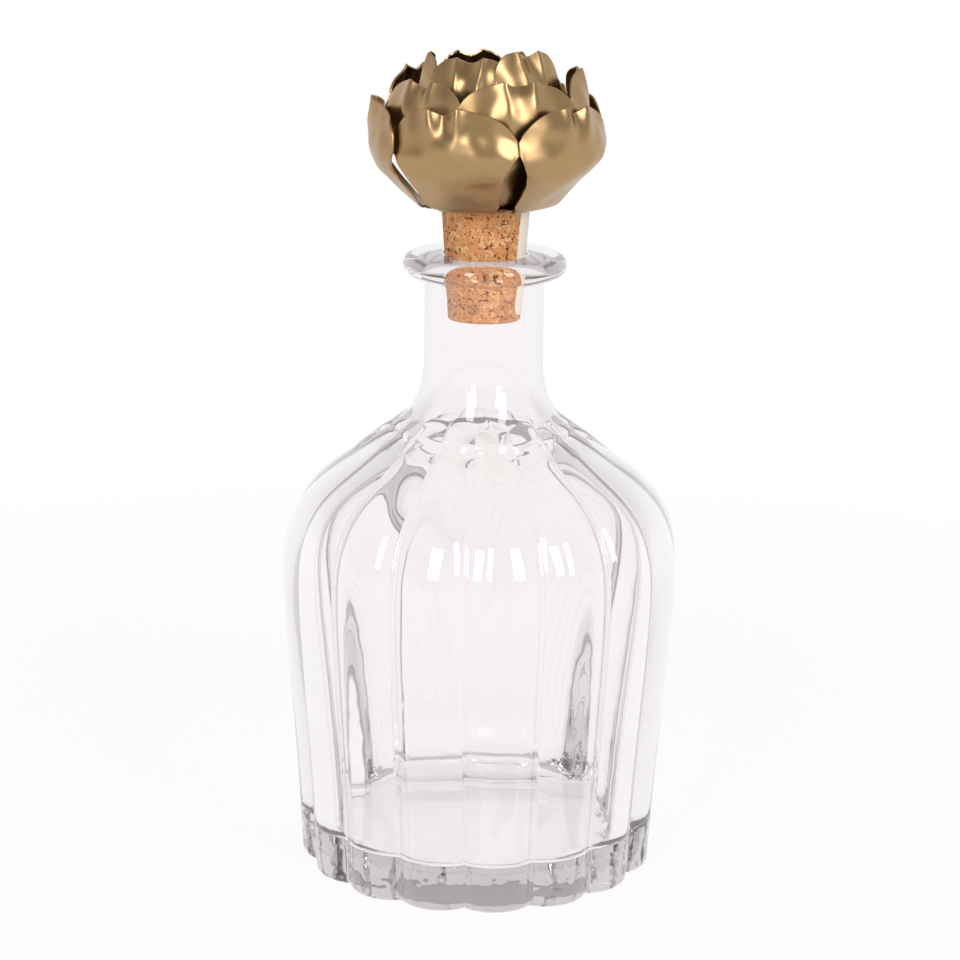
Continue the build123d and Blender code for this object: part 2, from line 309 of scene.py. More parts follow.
class DecanterStage(PropertyGroup):
    """The floor, lights and camera."""

    lamp_width: length("Lamp Width", "Width of each soft box", 280)
    lamp_height: length("Lamp Height", "Height of each soft box", 900)
    lamp_power: FloatProperty(
        name="Lamp Power", description="Power of each soft box in watts", default=8.0, min=0.0
    )
    camera_distance: length("Camera Distance", "Distance of the camera in front of the axis", 816.4)
    camera_height: length("Camera Height", "Height of the camera over the floor", 337.3)
    camera_side: FloatProperty(
        name="Camera Side",
        description="Sideways place of the camera",
        default=-0.5 * mm,
        subtype="DISTANCE",
        unit="LENGTH",
    )
    camera_pitch: turn("Camera Pitch", "How far the camera looks down", 15)
    camera_roll: turn("Camera Roll", "How far the camera leans", 0.83)
    lens: FloatProperty(name="Lens", description="Focal length in millimetres", default=104.6, min=10)
    floor: colour("Floor", "Colour of the floor", 0.95, 0.95, 0.95)
    shadow_reach: length("Shadow Reach", "How far from the object the floor keeps its shadow", 200)


# Places of the two soft boxes and the point that they face
left_lamp_place = (-0.51, -1.20, 0.81)
right_lamp_place = (0.78, -1.04, 0.81)
lamp_target = (0.0, 0.0, 0.15)

# How far the floor reaches each way, and how far it lies under the foot
floor_reach = 6.0
floor_drop = 0.05 * mm

# Where the glass of the base is chilled, when a ray in the glass counts as trapped, and the veil it meets:
# for a trapped ray a grey of painted shade in place of the light it would carry, for a shadow ray how dark
# the glass's shadow is
chill_reach = 47 * mm
most_mirrored = 2.5
most_crossed = 7.5
# Painted shade: the grey that a trapped ray shows in place of the light it would carry
trapped_shade_veil = (0.75, 0.735, 0.755)
shadow_veil = (0.76, 0.76, 0.76)

# The mix node's colour sockets, which share their names with its other kinds of socket
mix_first = 6
mix_second = 7
mix_result = 2

GROUPS = {
    "decanter_glass": DecanterGlass,
    "decanter_cork": DecanterCork,
    "decanter_flower": DecanterFlower,
    "decanter_stage": DecanterStage,
}


class Shader:
    """The node tree of a material or a world, with short calls to add and link its nodes."""

    def __init__(self, name, kind="materials", output="OutputMaterial"):
        self.owner = getattr(bpy.data, kind).new(name)
        self.owner.use_nodes = True
        self.tree = self.owner.node_tree
        self.tree.nodes.clear()
        self.output = self.add(output)

    def add(self, kind, inputs=None, **settings):
        """Add a shader node, set its own settings, then fill or link its inputs."""
        made = self.tree.nodes.new(f"ShaderNode{kind}")
        for name, value in settings.items():
            setattr(made, name, value)
        for name, value in (inputs or {}).items():
            self.feed(made.inputs[name], value)
        return made

    def feed(self, socket, value):
        """Link a socket to another one, or give it a plain value."""
        if isinstance(value, bpy.types.NodeSocket):
            self.tree.links.new(value, socket)
        elif socket.type == "RGBA" and len(value) == 3:
            socket.default_value = (*value, 1.0)
        else:
            socket.default_value = value

    def place(self):
        """The object's own coordinates."""
        return self.add("TexCoord").outputs["Object"]

    def noise(self, vector, scale, detail=3.0, roughness=0.5):
        """A cloudy pattern from 0 to 1."""
        inputs = {"Vector": vector, "Scale": scale, "Detail": detail, "Roughness": roughness}
        return self.add("TexNoise", inputs).outputs["Fac"]

    def ramp(self, factor, stops):
        """Colours or greys spread along a factor."""
        made = self.add("ValToRGB", {"Fac": factor})
        elements = made.color_ramp.elements
        while len(elements) < len(stops):
            elements.new(0.5)
        for element, (place, tone) in zip(elements, stops):
            element.position = place
            grey = not hasattr(tone, "__len__")
            element.color = (tone, tone, tone, 1.0) if grey else (*tone, 1.0)
        return made.outputs["Color"]

    def blend(self, factor, first, second, how="MIX"):
        """Two colours mixed by a factor."""
        made = self.add("Mix", data_type="RGBA", blend_type=how)
        self.feed(made.inputs["Factor"], factor)
        self.feed(made.inputs[mix_first], first)
        self.feed(made.inputs[mix_second], second)
        return made.outputs[mix_result]

    def maths(self, operation, first, second):
        """A sum, product or other operation on two values."""
        made = self.add("Math", operation=operation)
        self.feed(made.inputs[0], first)
        self.feed(made.inputs[1], second)
        return made.outputs[0]

    def bump(self, height, strength, distance, below=None):
        """A bumped normal from a height pattern."""
        inputs = {"Height": height, "Strength": strength, "Distance": distance}
        if below is not None:
            inputs["Normal"] = below
        return self.add("Bump", inputs).outputs["Normal"]

    def finish(self, surface, volume=None):
        """Join the shaders to the output and hand back the material or the world."""
        self.tree.links.new(surface, self.output.inputs["Surface"])
        if volume is not None:
            self.tree.links.new(volume, self.output.inputs["Volume"])
        return self.owner

    def coated(self, inputs):
        """The finished material, with one usual surface that takes these inputs."""
        return self.finish(self.add("BsdfPrincipled", inputs).outputs["BSDF"])


def grid_mesh(name, rows, start, end):
    """A closed mesh of rings of points, with a pole before the first ring and one after the last."""
    count = len(rows[0])
    points = [start] + [point for row in rows for point in row] + [end]
    last = len(points) - 1
    faces = []
    for step in range(count):
        after = (step + 1) % count
        faces.append((0, 1 + after, 1 + step))
        faces.append((last, last - count + step, last - count + after))
        for row in range(len(rows) - 1):
            low = 1 + row * count
            high = low + count
            faces.append((low + step, low + after, high + after, high + step))
    mesh = bpy.data.meshes.new(name)
    mesh.from_pydata(points, [], faces)
    mesh.validate()
    return mesh


def scaled(tone, share):
    """A colour made lighter or darker, and never brighter than white."""
    return [min(1.0, share * part) for part in tone]


def placed(name, data):
    """A new object of the scene that holds a mesh, a lamp or a camera."""
    made = bpy.data.objects.new(name, data)
    bpy.context.scene.collection.objects.link(made)
    return made


def show(name, mesh, material, body, slot, *nodes):
    """Put a smooth mesh in the scene in place of CAD nodes, riding on its body."""
    piece = placed(name, mesh)
    for polygon in mesh.polygons:
        polygon.use_smooth = True
    mesh.materials.append(material)
    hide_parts(*nodes)
    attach(piece, body)
    return piece


def dress(node, material):
    """Give a CAD node that stays a better material."""
    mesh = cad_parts[node].data
    mesh.materials.clear()
    mesh.materials.append(material)


def smooth_curve(places, values, wanted):
    """Values along a natural cubic curve through the given points."""
    x = np.array(places, float)
    y = np.array(values, float)
    gaps = np.diff(x)
    system = np.eye(len(x))
    right = np.zeros(len(x))
    for row in range(1, len(x) - 1):
        system[row, row - 1 : row + 2] = gaps[row - 1], 2 * (gaps[row - 1] + gaps[row]), gaps[row]
        right[row] = 6 * ((y[row + 1] - y[row]) / gaps[row] - (y[row] - y[row - 1]) / gaps[row - 1])
    bend = np.linalg.solve(system, right)
    wanted = np.array(wanted, float)
    cell = np.clip(np.searchsorted(x, wanted) - 1, 0, len(gaps) - 1)
    ahead = x[cell + 1] - wanted
    behind = wanted - x[cell]
    gap = gaps[cell]
    return (
        (bend[cell] * ahead**3 + bend[cell + 1] * behind**3) / (6 * gap)
        + (y[cell] / gap - bend[cell] * gap / 6) * ahead
        + (y[cell + 1] / gap - bend[cell + 1] * gap / 6) * behind
    )


def lobed_radius(crest, depth, away):
    """Radius of a lobe's round arc at an angle away from its crest."""
    half = pi / lobe_count
    valley = crest - depth
    centre = (crest**2 - valley**2) / (2 * (crest - valley * cos(half)))
    arc = crest - centre
    return centre * cos(away) + sqrt(arc**2 - (centre * sin(away)) ** 2)


def soft_max(first, second, softness):
    """The larger of two values, rounded where they meet."""
    share = max(softness - abs(first - second), 0.0) / softness
    return max(first, second) + share * share * softness / 4


def crest_curve(sizes, inset, bottom):
    """Crest radius at any height of the body, drawn in by an inset."""
    foot = sizes.foot_radius - inset
    belly = sizes.body_radius - inset
    heights = [bottom + share * (sizes.widest_height - bottom) for share in side_height_shares]
    radii = [foot + share * (belly - foot) for share in side_swell_shares]
    rise = sizes.shoulder_rise - inset
    heights += [sizes.widest_height + share * rise for share in shoulder_height_shares]
    radii += [share * belly for share in shoulder_radius_shares]
    places = np.concatenate([[0], np.cumsum(np.hypot(np.diff(heights), np.diff(radii)))])
    fine = np.linspace(0, places[-1], curve_steps)
    return smooth_curve(places, heights, fine), smooth_curve(places, radii, fine)


def body_rows(sizes, inset, depth, bottom, tube, flare, rounding):
    """Rings of points up one side of the glass, from its rounded foot to where only the neck is left."""
    heights, radii = crest_curve(sizes, inset, bottom)
    columns = lobe_count * sizes.columns_per_lobe
    flare_end = sizes.flare_top - flare * sin(sizes.flare_turn)
    levels = [bottom + rounding * (1 - cos(step / foot_rows * pi / 2)) for step in range(foot_rows)]
    levels += list(np.linspace(bottom + rounding, sizes.widest_height, side_rows))
    levels += list(np.linspace(sizes.widest_height, sizes.flare_top, shoulder_rows))[1:]
    rows = []
    for level in levels:
        read = max(level, bottom + rounding * lowest_read_share)
        crest = float(np.interp(read, heights, radii))
        dip = depth * (crest / sizes.body_radius) ** lobe_fade
        if inset:
            dip *= min(1.0, max(least_inner_dip, (sizes.flare_top - level) / inner_fade))
        pull = 0.0
        if level < bottom + rounding:
            pull = rounding - sqrt(max(rounding**2 - (bottom + rounding - level) ** 2, 0))
        row = []
        for step in range(columns):
            angle = 2 * pi * step / columns + radians(lobe_turn)
            away = (2 * pi * step / columns + pi / lobe_count) % (2 * pi / lobe_count) - pi / lobe_count
            radius = 0.0
            if level < heights[-1]:
                radius = lobed_radius(crest, dip, away) - pull
            if level > flare_end:
                drop = sizes.flare_top - level
                neck = tube + flare - sqrt(flare**2 - drop**2)
                radius = soft_max(radius, neck, sizes.melt)
            row.append((radius * cos(angle), radius * sin(angle), level))
        rows.append(row)
    return rows


def round_row(sizes, radius, level):
    """One round ring of points."""
    columns = lobe_count * sizes.columns_per_lobe
    angles = [2 * pi * step / columns + radians(lobe_turn) for step in range(columns)]
    return [(radius * cos(angle), radius * sin(angle), level) for angle in angles]


def shrunk_row(row, share, rounded):
    """A ring drawn in towards a round one, more nearly round the further in it lies."""
    made = []
    for x, y, level in row:
        radius = hypot(x, y)
        wanted = rounded + (radius - rounded) * share
        made.append((x * wanted / radius, y * wanted / radius, level))
    return made


def foot_rings(sizes, outside):
    """Rings under the foot: the shallow hollow in its middle, then the lobed band that it stands on."""
    rows = []
    sphere = (sizes.push_up_radius**2 + sizes.push_up_depth**2) / (2 * sizes.push_up_depth)
    for share in (0.1, 0.3, 0.5, 0.7, 0.85, 1.0):
        radius = sizes.push_up_radius * share
        level = sqrt(sphere**2 - radius**2) - (sphere - sizes.push_up_depth)
        rows.append(round_row(sizes, radius, level))
    for share in (0.08, 0.35, 0.7, 0.95):
        rows.append(shrunk_row(outside[0], share, sizes.push_up_radius))
    return rows


def straight_rings(sizes, radius, top, shares):
    """Round rings of one radius, at shares of the way from where the neck starts to widen up to a top."""
    rise = top - sizes.flare_top
    return [round_row(sizes, radius, sizes.flare_top + rise * share) for share in shares]


def neck_rings(sizes):
    """Rings up the neck, out under the mouth ring, round its rim, over the lip and down the bore."""
    hollow_foot = sizes.mouth_height - sizes.ring_thickness - sizes.ring_hollow
    rows = straight_rings(sizes, sizes.neck_radius, hollow_foot, (0.25, 0.5, 0.75, 0.93, 1.0))
    for step in range(1, hollow_steps + 1):
        angle = pi - step / hollow_steps * pi / 2
        radius = sizes.neck_radius + sizes.ring_hollow * (1 + cos(angle))
        rows.append(round_row(sizes, radius, hollow_foot + sizes.ring_hollow * sin(angle)))
    rim = sizes.ring_thickness / 2
    rim_centre = sizes.ring_radius - rim
    for step in range(rim_steps + 1):
        angle = -pi / 2 + step / rim_steps * pi
        level = sizes.mouth_height - rim + rim * sin(angle)
        rows.append(round_row(sizes, rim_centre + rim * cos(angle), level))
    lip_centre = sizes.bore_radius + sizes.lip_round
    rows.append(round_row(sizes, (rim_centre + lip_centre) / 2, sizes.mouth_height))
    for step in range(lip_steps + 1):
        angle = pi / 2 + step / lip_steps * pi / 2
        level = sizes.mouth_height - sizes.lip_round * (1 - sin(angle))
        rows.append(round_row(sizes, lip_centre + sizes.lip_round * cos(angle), level))
    lip_foot = sizes.mouth_height - sizes.lip_round
    return rows + straight_rings(sizes, sizes.bore_radius, lip_foot, (0.9, 0.75, 0.6, 0.45, 0.3, 0.15))


def floor_rings(sizes, lowest):
    """Rings across the flat floor inside, drawn in from the lowest ring of the side."""
    level = sizes.floor_thickness
    shares = (0.96, 0.85, 0.65, 0.45, 0.25, 0.1)
    return [[(x * share, y * share, level) for x, y, _ in lowest] for share in shares]


def glass_rows(sizes):
    """All rings of the glass: those up the outside and down the bore, and those of the inside."""
    outside = body_rows(
        sizes, inset=0, depth=sizes.lobe_depth, bottom=0,
        tube=sizes.neck_radius, flare=sizes.flare_radius, rounding=sizes.foot_round,
    )
    inside = body_rows(
        sizes, inset=sizes.wall, depth=sizes.inner_lobe_depth, bottom=sizes.floor_thickness,
        tube=sizes.bore_radius, flare=sizes.inner_flare_radius, rounding=sizes.floor_round,
    )
    outer = foot_rings(sizes, outside) + outside + neck_rings(sizes)
    return outer, inside[::-1] + floor_rings(sizes, inside[0])


def wavy(rows, amount, floor_level, top_level):
    """Rows pushed a little, the floor's up and down and the sides' in and out, fading towards the neck."""
    made = []
    for row in rows:
        moved = []
        for x, y, z in row:
            fade = min(1.0, max(0.0, (top_level - z) / wave_fade))
            spot = Vector((x * waves_across, y * waves_across, z * waves_up))
            shift = amount * fade * noise.noise(spot)
            on_floor = z <= floor_level + floor_margin
            side = 0.0 if on_floor else shift / max(hypot(x, y), mm)
            moved.append((x * (1 + side), y * (1 + side), z + shift if on_floor else z))
        made.append(moved)
    return made


def petal_path(whorl, closing, radius, base, root):
    """Radius, height, direction and length along the middle of a petal, and the ends of its stretches."""
    place = (whorl.hub_share + whorl.strap_share) * radius - root
    height = base
    heading = 0.0
    waist, bowl, brim = whorl.turns
    stretches = (
        (root, 0.0),
        (whorl.waist_share * radius * radians(waist), radians(waist)),
        (whorl.flank_share * radius, 0.0),
        (whorl.bowl_share * radius * radians(bowl), radians(bowl)),
        (whorl.brim_share * radius * radians(brim), radians(brim + closing)),
    )
    path = [(place, height, heading, 0.0)]
    travelled = 0.0
    ends = [0.0]
    for span, bend in stretches:
        for _ in range(stretch_steps):
            heading += bend / stretch_steps / 2
            place += span / stretch_steps * cos(heading)
            height += span / stretch_steps * sin(heading)
            heading += bend / stretch_steps / 2
            travelled += span / stretch_steps
            path.append((place, height, heading, travelled))
        ends.append(travelled)
    return np.array(path).T, ends


def eased(places, shares, wanted):
    """Shares along a smooth curve through the given points, level where two neighbours are equal."""
    x = np.array(places, float)
    y = np.array(shares, float)
    slope = np.gradient(y, x)
    steps = np.diff(y) / np.diff(x)
    for row, step in enumerate(steps):
        if step == 0:
            slope[row] = slope[row + 1] = 0.0
    cell = np.clip(np.searchsorted(x, wanted) - 1, 0, len(steps) - 1)
    gap = x[cell + 1] - x[cell]
    part = np.clip((wanted - x[cell]) / gap, 0, 1)
    left = 2 * part**3 - 3 * part**2 + 1
    lean = part**3 - 2 * part**2 + part
    right = 3 * part**2 - 2 * part**3
    fall = part**3 - part**2
    return left * y[cell] + lean * gap * slope[cell] + right * y[cell + 1] + fall * gap * slope[cell + 1]


def petal_rim(whorl, bend, radius, side, full, tip):
    """How far along the petal its edge lies at each place across, with round shoulders and a notched tip."""
    horn = whorl.horn_share * radius / 2
    horn_middle = bend.horn_side * radius
    from_horn = np.abs(side - horn_middle) - horn
    outer_span = full - horn - np.sign(side) * horn_middle
    fall = np.clip(from_horn / outer_span, 0, 1)
    drop = whorl.drop_share * radius
    shoulder = drop * (1 - np.sqrt(np.clip(1 - fall**shoulder_power, 0, 1)))
    notch = whorl.dip_share * radius * np.clip(-from_horn / horn, 0, 1) ** notch_power
    return tip - np.where(from_horn > 0, shoulder, notch)


def pinched(whorl, bend, radius, lateral, share, full, fold):
    """How far the two ridges and the dent between them push the sheet in."""
    closing = root_pinch_share + (1 - root_pinch_share) * share
    offset = lateral - bend.horn_side * radius * closing
    horn = whorl.horn_share * radius / 2
    ridge = full * ridge_width_share
    ridges = 0.0
    for side in (-1, 1):
        away = (offset - side * horn * closing) / ridge
        ridges = ridges + np.exp(-np.sqrt(away**2 + ridge_softness))
    dent = np.exp(-((offset / (horn * dent_width_share)) ** 2))
    return fold * (dent_depth * dent - ridge_lift * ridges)


def dents(lateral, reach, seed):
    """The uneven dents of hand-bent sheet, as a share of their depth."""
    made = np.zeros(reach.shape)
    for row, column in np.ndindex(reach.shape):
        side = lateral[row, column] * dents_across
        spot = Vector((side, reach[row, column] * dents_along, seed * dent_shift))
        made[row, column] = noise.noise(spot) + fine_dent_share * noise.noise(spot * fine_dent_scale)
    return made


def petal_sheet(whorl, bend, sizes, seed):
    """The middle surface of one bent petal as a grid of points, along by across, facing +X."""
    radius = sizes.radius
    base = sizes.base + (whorl.level + 0.5) * sizes.hub_thickness
    path, ends = petal_path(whorl, bend.closing, radius, base, sizes.petal_root)
    places, heights, headings, lengths = path
    stations = [
        start + (end - start) * share
        for start, end, shares in zip(ends, ends[1:], stretch_place_shares)
        for share in shares
    ]
    full = whorl.width_share * radius * bend.width
    root = whorl.hub_share * radius * tan(pi / petal_count) - 2 * sizes.strap_inset
    tip = ends[-1] * (1 - bend.cut)
    across = np.linspace(-1, 1, sizes.across + 1)
    rim = petal_rim(whorl, bend, radius, across * full, full, tip)
    rows = np.linspace(0, 1, sizes.along + 1) ** row_crowding
    reach = rows[:, None] * rim[None, :]
    widening = np.clip(eased(stations, widening_shares, reach), 0, 1)
    fullness = np.where(across < 0, bend.left_fullness, bend.right_fullness)
    spread = root + widening ** fullness[None, :] * (full - root)
    lateral = across[None, :] * spread
    curling = eased(stations, curl_shares, reach)
    inward = whorl.cup_share * radius * curling * across[None, :] ** 2
    fold = whorl.pinch_share * radius * eased(stations, fold_shares, reach + ends[-1] - tip)
    inward += pinched(whorl, bend, radius, lateral, reach / ends[-1], full, fold)
    inward += sizes.unevenness * curling * dents(lateral, reach, seed)
    place = np.interp(reach, lengths, places)
    height = np.interp(reach, lengths, heights)
    heading = np.interp(reach, lengths, headings)
    return np.stack([place - inward * np.sin(heading), lateral, height + inward * np.cos(heading)], axis=-1)


def plated(points, thickness):
    """Vertices and faces of a sheet of even thickness with a round edge, from its middle surface."""
    rows, columns = points.shape[:2]
    along = np.gradient(points, axis=0)
    across = np.gradient(points, axis=1)
    normal = np.cross(along, across)
    normal /= np.linalg.norm(normal, axis=-1, keepdims=True)
    half = thickness / 2
    sides = [points + normal * half, points - normal * half]
    border = [(0, column) for column in range(columns)]
    border += [(row, columns - 1) for row in range(1, rows)]
    border += [(rows - 1, column) for column in range(columns - 2, -1, -1)]
    border += [(row, 0) for row in range(rows - 2, 0, -1)]
    edge = []
    for row, column in border:
        inner = points[min(max(row, 1), rows - 2), min(max(column, 1), columns - 2)]
        away = points[row, column] - inner
        away -= normal[row, column] * np.dot(away, normal[row, column])
        away /= np.linalg.norm(away)
        edge.append(points[row, column] + away * half * edge_share)
    vertices = [tuple(point) for side in sides for point in side.reshape(-1, 3)]
    vertices += [tuple(point) for point in edge]
    count = rows * columns
    faces = []
    for row in range(rows - 1):
        for column in range(columns - 1):
            corner = row * columns + column
            square = (corner, corner + 1, corner + columns + 1, corner + columns)
            faces.append(square[::-1])
            faces.append(tuple(count + vertex for vertex in square))
    for step, (row, column) in enumerate(border):
        after = (step + 1) % len(border)
        here = row * columns + column
        there = border[after][0] * columns + border[after][1]
        rim = 2 * count
        faces.append((here, there, rim + after, rim + step))
        faces.append((rim + step, rim + after, count + there, count + here))
    return vertices, faces


def hub_plate(whorl, sizes):
    """Vertices and faces of the flat hub with its screw hole and five straps."""
    inradius = whorl.hub_share * sizes.radius
    end = (whorl.hub_share + whorl.strap_share) * sizes.radius
    half = inradius * tan(pi / petal_count) - sizes.strap_inset
    outline = []
    for number in range(petal_count):
        angle = radians(whorl.first_petal) + number * 2 * pi / petal_count
        corner = inradius / cos(pi / petal_count)
        for x, y in ((inradius, -half), (end, -half), (end, half), (inradius, half)):
            outline.append((x * cos(angle) - y * sin(angle), x * sin(angle) + y * cos(angle)))
        outline.append((corner * cos(angle + pi / petal_count), corner * sin(angle + pi / petal_count)))
    low = sizes.base + whorl.level * sizes.hub_thickness
    high = low + sizes.hub_thickness
    hole = [(sizes.hole * x / hypot(x, y), sizes.hole * y / hypot(x, y)) for x, y in outline]
    rings = [(hole, low), (outline, low), (outline, high), (hole, high)]
    vertices = [(x, y, level) for ring, level in rings for x, y in ring]
    count = len(outline)
    faces = []
    for number in range(len(rings)):
        start = number * count
        upper = (number + 1) % len(rings) * count
        for step in range(count):
            after = (step + 1) % count
            faces.append((start + step, start + after, upper + after, upper + step))
    return vertices, faces


def star_mesh(name, sizes):
    """One stamped star: its hub and five petals, each bent a little differently."""
    whorl = whorls[name]
    vertices, faces = hub_plate(whorl, sizes)
    for number, bend in enumerate(hand_bends[name]):
        points = petal_sheet(whorl, bend, sizes, whorl.level * petal_count + number)
        angle = radians(whorl.first_petal + number * 360 / petal_count + bend.turn)
        spin = np.array(((cos(angle), sin(angle), 0), (-sin(angle), cos(angle), 0), (0, 0, 1)))
        petal_vertices, petal_faces = plated(points @ spin, sizes.sheet)
        start = len(vertices)
        vertices += petal_vertices
        faces += [tuple(start + corner for corner in face) for face in petal_faces]
    mesh = bpy.data.meshes.new(name)
    mesh.from_pydata(vertices, [], faces)
    mesh.validate()
    return mesh


def clear_glass(sizes):
    """Pressed clear glass: faintly uneven, chilled round the foot, with a tint where it is thick."""
    shader = Shader("clear pressed glass")
    place = shader.place()
    ripple = shader.bump(shader.noise(place, scale=55.0, detail=2.0), strength=0.12, distance=0.6 * mm)
    height = shader.add("SeparateXYZ", {"Vector": place}).outputs["Z"]
    level = shader.add("VectorMath", {0: place, 1: (1.0, 1.0, 0.0)}, operation="MULTIPLY")
    reach = shader.add("VectorMath", {0: level.outputs[0]}, operation="LENGTH").outputs["Value"]
    low = shader.maths("LESS_THAN", height, sizes.floor_thickness)
    base = shader.maths("MULTIPLY", low, shader.maths("GREATER_THAN", reach, chill_reach))
    chill = shader.maths("MULTIPLY", shader.noise(place, scale=120.0, detail=2.0), base)
    normal = shader.bump(chill, strength=0.6, distance=1.6 * mm, below=ripple)
    clouds = shader.noise(place, scale=30.0, detail=2.0)
    surface = shader.add(
        "BsdfPrincipled",
        {
            "Base Color": (1.0, 0.975, 0.975),
            "Roughness": shader.ramp(clouds, ((0.3, 0.0), (0.75, 0.006))),
            "IOR": 1.5,
            "Transmission Weight": 1.0,
            "Normal": normal,
        },
    )
    mixed = escape_mix(shader, surface.outputs["BSDF"])
    volume = shader.add("VolumeAbsorption", {"Color": tuple(sizes.tint), "Density": 20.0})
    return shader.finish(mixed, volume.outputs["Volume"])


def escape_mix(shader, glass):
    """Glass that lets shadow rays, and rays that have been trapped in it for long, pass straight through a
    veil, which for trapped rays is painted shade in place of the light they would carry.
    """
    rays = shader.add("LightPath").outputs
    mirrored = shader.maths("GREATER_THAN", rays["Glossy Depth"], most_mirrored)
    crossed = shader.maths("GREATER_THAN", rays["Ray Depth"], most_crossed)
    trapped = shader.maths("MAXIMUM", mirrored, crossed)
    passed = shader.maths("MAXIMUM", trapped, rays["Is Shadow Ray"])
    # The veil paints the shade of trapped rays, and sets how dark the glass's shadow is for shadow rays
    shade_veil = shader.blend(rays["Is Shadow Ray"], trapped_shade_veil, shadow_veil)
    through = shader.add("BsdfTransparent", {"Color": shade_veil})
    return shader.add("MixShader", {0: passed, 1: glass, 2: through.outputs[0]}).outputs[0]


def cork_material(colours):
    """Pressed cork granules: tan and pale grains with dark specks of bark and small pits."""
    shader = Shader("pressed cork")
    place = shader.place()
    inputs = {"Vector": place, "Scale": 260.0, "Detail": 3.0}
    jitter = shader.add("TexNoise", inputs).outputs["Color"]
    bent = {"Vector": shader.blend(0.0018, place, jitter, "ADD"), "Scale": 620.0}
    grains = shader.add("TexVoronoi", bent, feature="F1")
    tone = shader.add("SeparateColor", {"Color": grains.outputs["Color"]}).outputs[0]
    shares = ((0.0, colours.tan), (0.55, colours.tan), (0.8, colours.pale), (1.0, colours.pale))
    body = shader.ramp(tone, shares)
    fine = shader.noise(place, scale=1500.0, detail=4.0, roughness=0.7)
    body = shader.blend(shader.ramp(fine, ((0.4, 0.0), (0.8, 0.4))), body, colours.bark)
    edges = shader.add("TexVoronoi", bent, feature="DISTANCE_TO_EDGE")
    seam = shader.ramp(edges.outputs["Distance"], ((0.0, 0.8), (0.06, 0.0)))
    areas = shader.noise(place, scale=260.0, detail=3.0, roughness=0.6)
    specks = shader.maths("MULTIPLY", seam, shader.ramp(areas, ((0.50, 0.0), (0.60, 1.0))))
    for scale, start in ((1000.0, 0.60), (560.0, 0.645)):
        spots = shader.noise(place, scale, detail=2.0, roughness=0.6)
        specks = shader.maths("MAXIMUM", specks, shader.ramp(spots, ((start, 0.0), (start + 0.03, 1.0))))
    body = shader.blend(specks, body, colours.bark)
    pits = shader.bump(shader.maths("SUBTRACT", fine, specks), strength=0.7, distance=0.35 * mm)
    return shader.coated({
        "Base Color": body,
        "Roughness": 0.85,
        "Specular IOR Level": 0.25,
        "Normal": pits,
    })


def paper_material(tone):
    """Matte paper with a faint fibre."""
    shader = Shader("cream paper")
    fibre = shader.noise(shader.place(), scale=900.0, detail=5.0, roughness=0.7)
    shade = shader.blend(shader.ramp(fibre, ((0.3, 0.0), (0.8, 0.35))), tone, scaled(tone, 0.82))
    return shader.coated({
        "Base Color": shade,
        "Roughness": 0.7,
        "Specular IOR Level": 0.3,
        "Normal": shader.bump(fibre, strength=0.25, distance=0.1 * mm),
    })


def gold_material(colours):
    """Satin gold paint on stamped sheet, with browner clouds where it is thin and small bright flakes."""
    shader = Shader("satin antique gold")
    place = shader.place()
    clouds = shader.noise(place, scale=60.0, detail=4.0, roughness=0.6)
    flakes = shader.noise(place, scale=2600.0, detail=2.0, roughness=0.6)
    tone = shader.blend(shader.ramp(clouds, ((0.45, 0.0), (0.8, 0.5))), colours.gold, colours.worn)
    sparkle = shader.ramp(flakes, ((0.4, 0.0), (0.75, 0.25)))
    tone = shader.blend(sparkle, tone, scaled(colours.gold, 1.35))
    dimples = shader.bump(shader.noise(place, scale=95.0, detail=2.0), strength=0.12, distance=1.0 * mm)
    return shader.coated({
        "Base Color": tone,
        "Metallic": 1.0,
        "Roughness": shader.ramp(clouds, ((0.2, 0.28), (0.8, 0.35))),
        "Normal": shader.bump(flakes, strength=0.06, distance=0.05 * mm, below=dimples),
    })


def steel_material(tone):
    """Plated steel with a fine grain."""
    shader = Shader("plated steel")
    grain = shader.noise(shader.place(), scale=1400.0, detail=3.0)
    shade = shader.blend(shader.ramp(grain, ((0.3, 0.0), (0.7, 0.4))), tone, scaled(tone, 0.7))
    return shader.coated({
        "Base Color": shade,
        "Metallic": 1.0,
        "Roughness": shader.ramp(grain, ((0.2, 0.25), (0.8, 0.42))),
        "Normal": shader.bump(grain, strength=0.2, distance=0.05 * mm),
    })


class DECANTER_OT_glass(Operator):
    """Make the lobed glass bottle"""

    bl_idname = "decanter.make_glass"
    bl_label = "Glass Bottle"

    def execute(self, context):
        sizes = context.scene.decanter_glass
        outside, inside = glass_rows(sizes)
        inside = wavy(inside, sizes.waviness, sizes.floor_thickness, sizes.flare_top)
        start = (0.0, 0.0, sizes.push_up_depth)
        end = (0.0, 0.0, inside[-1][0][2])
        mesh = grid_mesh("glass_bottle", outside + inside, start, end)
        show("glass_bottle", mesh, clear_glass(sizes), "bottle", "clear_glass", "bottle")
        return {"FINISHED"}


class DECANTER_OT_cork(Operator):
    """Dress the cork and its paper strip"""

    bl_idname = "decanter.make_cork"
    bl_label = "Cork and Paper Strip"

    def execute(self, context):
        colours = context.scene.decanter_cork
        dress("cork", cork_material(colours))
        dress("cork_sticker", paper_material(tuple(colours.paper)))
        return {"FINISHED"}


class DECANTER_OT_flower(Operator):
    """Make the stamped flower"""

    bl_idname = "decanter.make_flower"
    bl_label = "Stamped Flower"

    def execute(self, context):
        flower = context.scene.decanter_flower
        gold = gold_material(flower)
        for node in whorls:
            piece = show(f"stamped_{node}", star_mesh(node, flower), gold, "stopper", "antique_gold", node)
            piece.data.set_sharp_from_angle(angle=radians(50))
        return {"FINISHED"}


